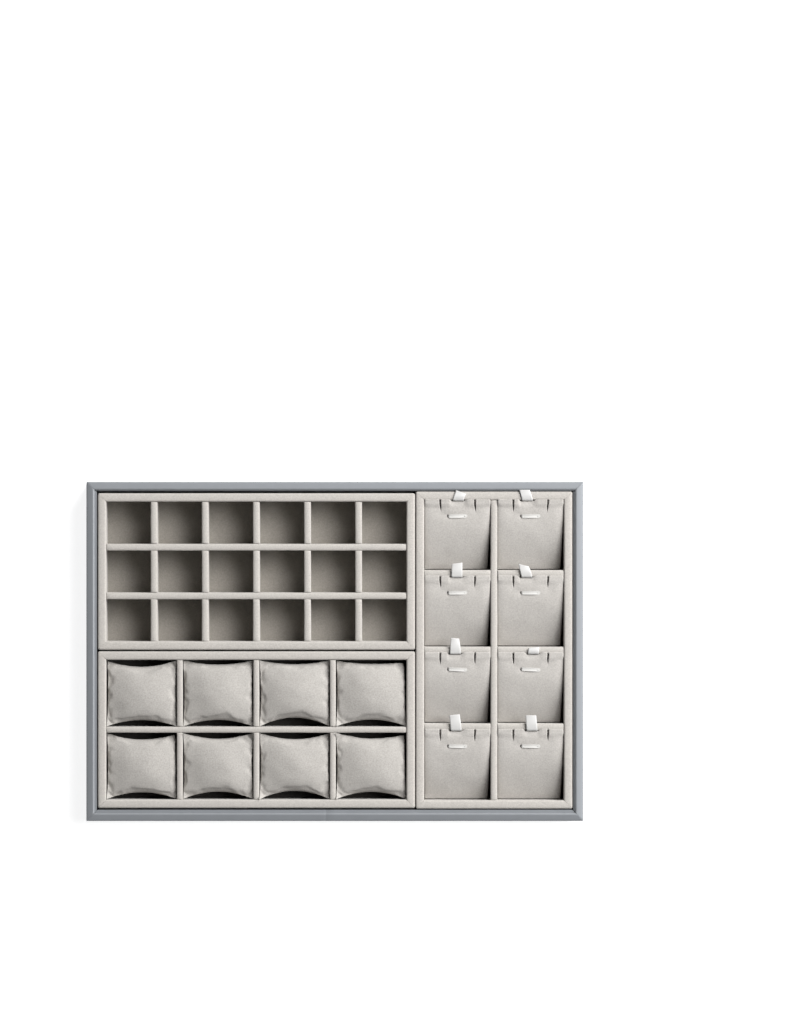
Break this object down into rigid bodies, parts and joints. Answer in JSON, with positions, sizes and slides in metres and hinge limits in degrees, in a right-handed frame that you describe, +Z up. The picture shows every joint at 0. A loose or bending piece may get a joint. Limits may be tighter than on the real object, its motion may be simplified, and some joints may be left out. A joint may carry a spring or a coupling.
{
  "type": "jewelry display tray",
  "caption": "Flat mitred tray holding lift-out suede inserts: a grid of ring cells, cells with stuffed pillows, and pockets with sloping pendant pads on pull ribbons.",
  "frame": {"origin": "centre of the underside of the tray, on the surface that it lies on", "axes": "+Z up, out of the open top; +X along the length, from the stacked inserts to the upright pendant insert; +Y to the back edge, which the pads slope up to"},
  "size_m": [0.52, 0.355, 0.0512],
  "materials": {
    "frame_wrap": "smooth blue-grey artificial leather, satin",
    "insert_suede": "short-pile warm light grey suede over board",
    "pillow_suede": "short-pile warm light grey suede, stuffed",
    "pad_suede": "short-pile warm light grey suede over padded board",
    "ribbon": "white satin ribbon",
    "strap": "off-white artificial leather",
    "board": "raw fibre board, covered on both faces",
    "lining": "dark lining cloth",
    "felt": "dark grey pressed felt"
  },
  "bodies": {
    "tray": {"base_board": "board", "base_lining": "lining", "felt_underside": "felt", "frame_rail_back": "frame_wrap", "frame_rail_front": "frame_wrap", "frame_rail_left": "frame_wrap", "frame_rail_right": "frame_wrap"},
    "ring_insert": {"ring_insert_cross_dividers": "insert_suede", "ring_insert_floor": "insert_suede", "ring_insert_long_dividers": "insert_suede", "ring_insert_rail_back": "insert_suede", "ring_insert_rail_front": "insert_suede", "ring_insert_rail_left": "insert_suede", "ring_insert_rail_right": "insert_suede"},
    "pillow_insert": {"pillow_insert_cross_dividers": "insert_suede", "pillow_insert_floor": "insert_suede", "pillow_insert_long_dividers": "insert_suede", "pillow_insert_rail_back": "insert_suede", "pillow_insert_rail_front": "insert_suede", "pillow_insert_rail_left": "insert_suede", "pillow_insert_rail_right": "insert_suede"},
    "pendant_insert": {"pendant_insert_cross_dividers": "insert_suede", "pendant_insert_floor": "insert_suede", "pendant_insert_long_dividers": "insert_suede", "pendant_insert_rail_back": "insert_suede", "pendant_insert_rail_front": "insert_suede", "pendant_insert_rail_left": "insert_suede", "pendant_insert_rail_right": "insert_suede"},
    "pillow_1": {"pillow_1": "pillow_suede"},
    "pillow_2": {"pillow_2": "pillow_suede"},
    "pillow_3": {"pillow_3": "pillow_suede"},
    "pillow_4": {"pillow_4": "pillow_suede"},
    "pillow_5": {"pillow_5": "pillow_suede"},
    "pillow_6": {"pillow_6": "pillow_suede"},
    "pillow_7": {"pillow_7": "pillow_suede"},
    "pillow_8": {"pillow_8": "pillow_suede"},
    "pad_1": {"pad_1": "pad_suede", "pad_ribbon_1": "ribbon", "pad_strap_1": "strap"},
    "pad_2": {"pad_2": "pad_suede", "pad_ribbon_2": "ribbon", "pad_strap_2": "strap"},
    "pad_3": {"pad_3": "pad_suede", "pad_ribbon_3": "ribbon", "pad_strap_3": "strap"},
    "pad_4": {"pad_4": "pad_suede", "pad_ribbon_4": "ribbon", "pad_strap_4": "strap"},
    "pad_5": {"pad_5": "pad_suede", "pad_ribbon_5": "ribbon", "pad_strap_5": "strap"},
    "pad_6": {"pad_6": "pad_suede", "pad_ribbon_6": "ribbon", "pad_strap_6": "strap"},
    "pad_7": {"pad_7": "pad_suede", "pad_ribbon_7": "ribbon", "pad_strap_7": "strap"},
    "pad_8": {"pad_8": "pad_suede", "pad_ribbon_8": "ribbon", "pad_strap_8": "strap"}
  },
  "joints": [
    {"name": "ring_insert_lift", "type": "slide", "parent": "tray", "child": "ring_insert", "axis": [0, 0, 1], "range_m": [0, 0.055]},
    {"name": "pillow_insert_lift", "type": "slide", "parent": "tray", "child": "pillow_insert", "axis": [0, 0, 1], "range_m": [0, 0.055]},
    {"name": "pendant_insert_lift", "type": "slide", "parent": "tray", "child": "pendant_insert", "axis": [0, 0, 1], "range_m": [0, 0.055]},
    {"name": "pillow_1_lift", "type": "slide", "parent": "pillow_insert", "child": "pillow_1", "axis": [0, 0, 1], "range_m": [0, 0.045]},
    {"name": "pillow_2_lift", "type": "slide", "parent": "pillow_insert", "child": "pillow_2", "axis": [0, 0, 1], "range_m": [0, 0.045]},
    {"name": "pillow_3_lift", "type": "slide", "parent": "pillow_insert", "child": "pillow_3", "axis": [0, 0, 1], "range_m": [0, 0.045]},
    {"name": "pillow_4_lift", "type": "slide", "parent": "pillow_insert", "child": "pillow_4", "axis": [0, 0, 1], "range_m": [0, 0.045]},
    {"name": "pillow_5_lift", "type": "slide", "parent": "pillow_insert", "child": "pillow_5", "axis": [0, 0, 1], "range_m": [0, 0.045]},
    {"name": "pillow_6_lift", "type": "slide", "parent": "pillow_insert", "child": "pillow_6", "axis": [0, 0, 1], "range_m": [0, 0.045]},
    {"name": "pillow_7_lift", "type": "slide", "parent": "pillow_insert", "child": "pillow_7", "axis": [0, 0, 1], "range_m": [0, 0.045]},
    {"name": "pillow_8_lift", "type": "slide", "parent": "pillow_insert", "child": "pillow_8", "axis": [0, 0, 1], "range_m": [0, 0.045]},
    {"name": "pad_1_lift", "type": "slide", "parent": "pendant_insert", "child": "pad_1", "axis": [0, 0, 1], "range_m": [0, 0.045]},
    {"name": "pad_2_lift", "type": "slide", "parent": "pendant_insert", "child": "pad_2", "axis": [0, 0, 1], "range_m": [0, 0.045]},
    {"name": "pad_3_lift", "type": "slide", "parent": "pendant_insert", "child": "pad_3", "axis": [0, 0, 1], "range_m": [0, 0.045]},
    {"name": "pad_4_lift", "type": "slide", "parent": "pendant_insert", "child": "pad_4", "axis": [0, 0, 1], "range_m": [0, 0.045]},
    {"name": "pad_5_lift", "type": "slide", "parent": "pendant_insert", "child": "pad_5", "axis": [0, 0, 1], "range_m": [0, 0.045]},
    {"name": "pad_6_lift", "type": "slide", "parent": "pendant_insert", "child": "pad_6", "axis": [0, 0, 1], "range_m": [0, 0.045]},
    {"name": "pad_7_lift", "type": "slide", "parent": "pendant_insert", "child": "pad_7", "axis": [0, 0, 1], "range_m": [0, 0.045]},
    {"name": "pad_8_lift", "type": "slide", "parent": "pendant_insert", "child": "pad_8", "axis": [0, 0, 1], "range_m": [0, 0.045]}
  ]
}
